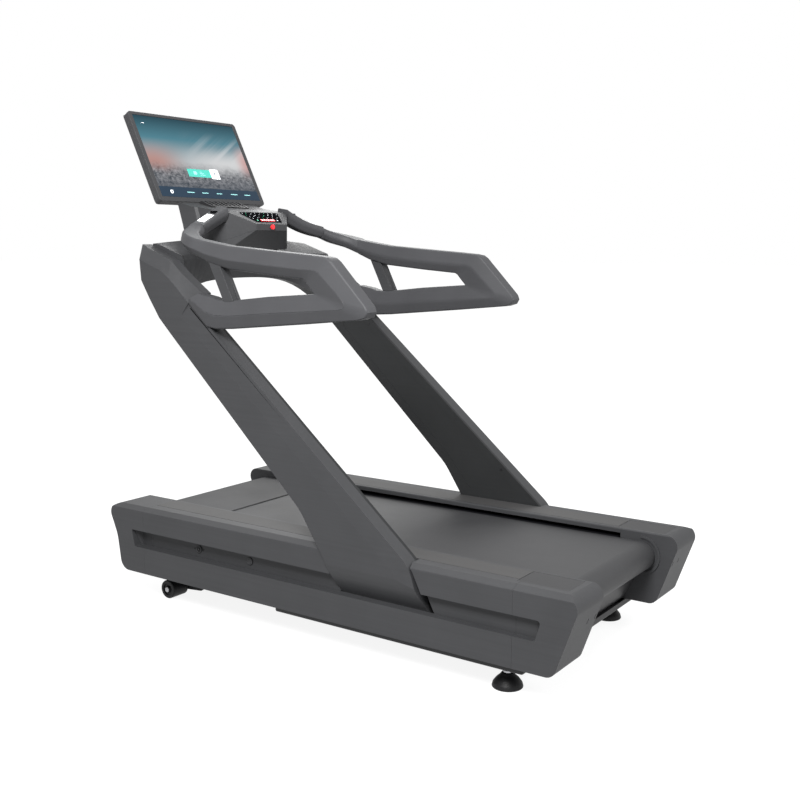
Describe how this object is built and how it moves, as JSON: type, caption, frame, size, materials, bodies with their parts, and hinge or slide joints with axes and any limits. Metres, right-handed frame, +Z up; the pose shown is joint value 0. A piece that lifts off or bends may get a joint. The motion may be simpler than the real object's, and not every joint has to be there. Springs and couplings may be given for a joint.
{
  "type": "treadmill",
  "caption": "Commercial treadmill with a tilted screen on a portal frame, looped side handles, a wide belt between side skirts, levelling feet and lift wheels.",
  "frame": {"origin": "on the floor, under the middle of the whole machine's bounding box", "axes": "+Z up, +Y forward from the runner to the console, +X to the runner's right"},
  "size_m": [0.968, 1.9524, 1.7703],
  "materials": {
    "cover": "satin",
    "cover_dark": "satin",
    "frame_paint": "satin",
    "belt": "matte",
    "strap": "matte",
    "deck": "matte",
    "steel": "satin",
    "rubber": "matte",
    "rail": "matte",
    "grip": "matte",
    "motor": "satin",
    "control": "satin",
    "white_plate": "satin",
    "black_gloss": "gloss",
    "red": "gloss",
    "screen": "gloss"
  },
  "bodies": {
    "base": {"belly_pan": "cover_dark", "console_base": "cover", "console_body": "cover", "cover_screws": "steel", "deck_cushions": "rubber", "drive_belt": "strap", "drive_motor": "motor", "foot_brackets": "frame_paint", "foot_rails": "rail", "front_bar_left": "grip", "front_bar_right": "grip", "front_cap_left": "cover", "front_cap_right": "cover", "handle_struts": "cover", "head_cover": "cover", "keypad_panel": "black_gloss", "main_frame": "frame_paint", "motor_controller": "control", "motor_hood": "cover", "neck_cover": "cover", "power_inlet": "cover_dark", "pulse_plates": "white_plate", "rear_apron": "cover_dark", "rear_cap_left": "cover", "rear_cap_right": "cover", "roller_axles": "steel", "running_belt": "belt", "running_deck": "deck", "screen_bezel": "cover", "screen_glass": "screen", "screen_housing": "cover", "side_handle_left": "grip", "side_handle_right": "grip", "skirt_left": "cover", "skirt_right": "cover", "step_pads": "cover_dark", "upright_frame": "frame_paint", "upright_liners": "cover", "upright_shell_left": "cover", "upright_shell_right": "cover", "vent_grille": "cover_dark"},
    "rear_roller": {"rear_roller": "steel"},
    "front_roller": {"front_roller": "steel", "roller_pulley": "control"},
    "motor_rotor": {"motor_flywheel": "steel"},
    "lift_arm": {"lift_arm": "frame_paint", "lift_pin": "steel"},
    "lift_wheel_left": {"lift_wheel_left": "rubber"},
    "lift_wheel_right": {"lift_wheel_right": "rubber"},
    "lift_motor": {"lift_motor": "motor"},
    "lift_screw": {"lift_screw": "steel"},
    "foot_left": {"foot_pad_left": "rubber", "foot_stud_left": "steel"},
    "foot_right": {"foot_pad_right": "rubber", "foot_stud_right": "steel"},
    "power_switch": {"power_switch": "red"},
    "stop_bar": {"stop_bar": "red"},
    "stop_button": {"stop_button": "red"},
    "quick_key_left": {"quick_key_left": "black_gloss"},
    "quick_key_right": {"quick_key_right": "black_gloss"}
  },
  "joints": [
    {"name": "front_roller_spin", "type": "hinge", "parent": "base", "child": "front_roller", "pos_m": [0, 0.56669, 0.2735], "axis": [1, 0, 0], "continuous": true},
    {"name": "rear_roller_spin", "type": "hinge", "parent": "base", "child": "rear_roller", "pos_m": [0, -0.85381, 0.267], "axis": [1, 0, 0], "continuous": true},
    {"name": "motor_spin", "type": "hinge", "parent": "base", "child": "motor_rotor", "pos_m": [0, 0.71669, 0.205], "axis": [1, 0, 0], "continuous": true},
    {"name": "lift_arm_pivot", "type": "hinge", "parent": "base", "child": "lift_arm", "pos_m": [0, 0.43669, 0.128], "axis": [-1, 0, 0], "range_deg": [0, 30]},
    {"name": "lift_motor_pivot", "type": "hinge", "parent": "base", "child": "lift_motor", "pos_m": [0, 0.77869, 0.112], "axis": [-1, 0, 0], "range_deg": [0, 0.4]},
    {"name": "lift_screw_slide", "type": "slide", "parent": "lift_motor", "child": "lift_screw", "axis": [0, 0.9554, -0.2953], "range_m": [0, 0.025]},
    {"name": "lift_wheel_left_spin", "type": "hinge", "parent": "lift_arm", "child": "lift_wheel_left", "pos_m": [-0.352, 0.69369, 0.034], "axis": [1, 0, 0], "continuous": true},
    {"name": "lift_wheel_right_spin", "type": "hinge", "parent": "lift_arm", "child": "lift_wheel_right", "pos_m": [0.352, 0.69369, 0.034], "axis": [1, 0, 0], "continuous": true},
    {"name": "foot_left_height", "type": "slide", "parent": "base", "child": "foot_left", "axis": [0, 0, -1], "range_m": [0, 0.012]},
    {"name": "foot_right_height", "type": "slide", "parent": "base", "child": "foot_right", "axis": [0, 0, -1], "range_m": [0, 0.012]},
    {"name": "power_switch_rock", "type": "hinge", "parent": "base", "child": "power_switch", "pos_m": [-0.187, 0.87169, 0.212], "axis": [1, 0, 0], "range_deg": [0, 12]},
    {"name": "stop_bar_press", "type": "slide", "parent": "base", "child": "stop_bar", "axis": [0, 0.5219, -0.853], "range_m": [0, 0.002], "stiffness_N_per_m": 800, "springref_m": -0.0005},
    {"name": "stop_button_press", "type": "slide", "parent": "base", "child": "stop_button", "axis": [0, 1, 0], "range_m": [0, 0.004], "stiffness_N_per_m": 600, "springref_m": -0.0005},
    {"name": "quick_key_left_press", "type": "slide", "parent": "base", "child": "quick_key_left", "axis": [0, 0, -1], "range_m": [0, 0.0015], "stiffness_N_per_m": 600, "springref_m": -0.0005},
    {"name": "quick_key_right_press", "type": "slide", "parent": "base", "child": "quick_key_right", "axis": [0, 0, -1], "range_m": [0, 0.0015], "stiffness_N_per_m": 600, "springref_m": -0.0005}
  ],
  "couplings": [
    {"joint": "rear_roller_spin", "follows": "front_roller_spin", "ratio": 0.86022},
    {"joint": "motor_spin", "follows": "front_roller_spin", "ratio": 1.7273},
    {"joint": "lift_motor_pivot", "follows": "lift_arm_pivot", "ratio": 0.009},
    {"joint": "lift_screw_slide", "follows": "lift_arm_pivot", "m_per_rad": 0.0475}
  ]
}
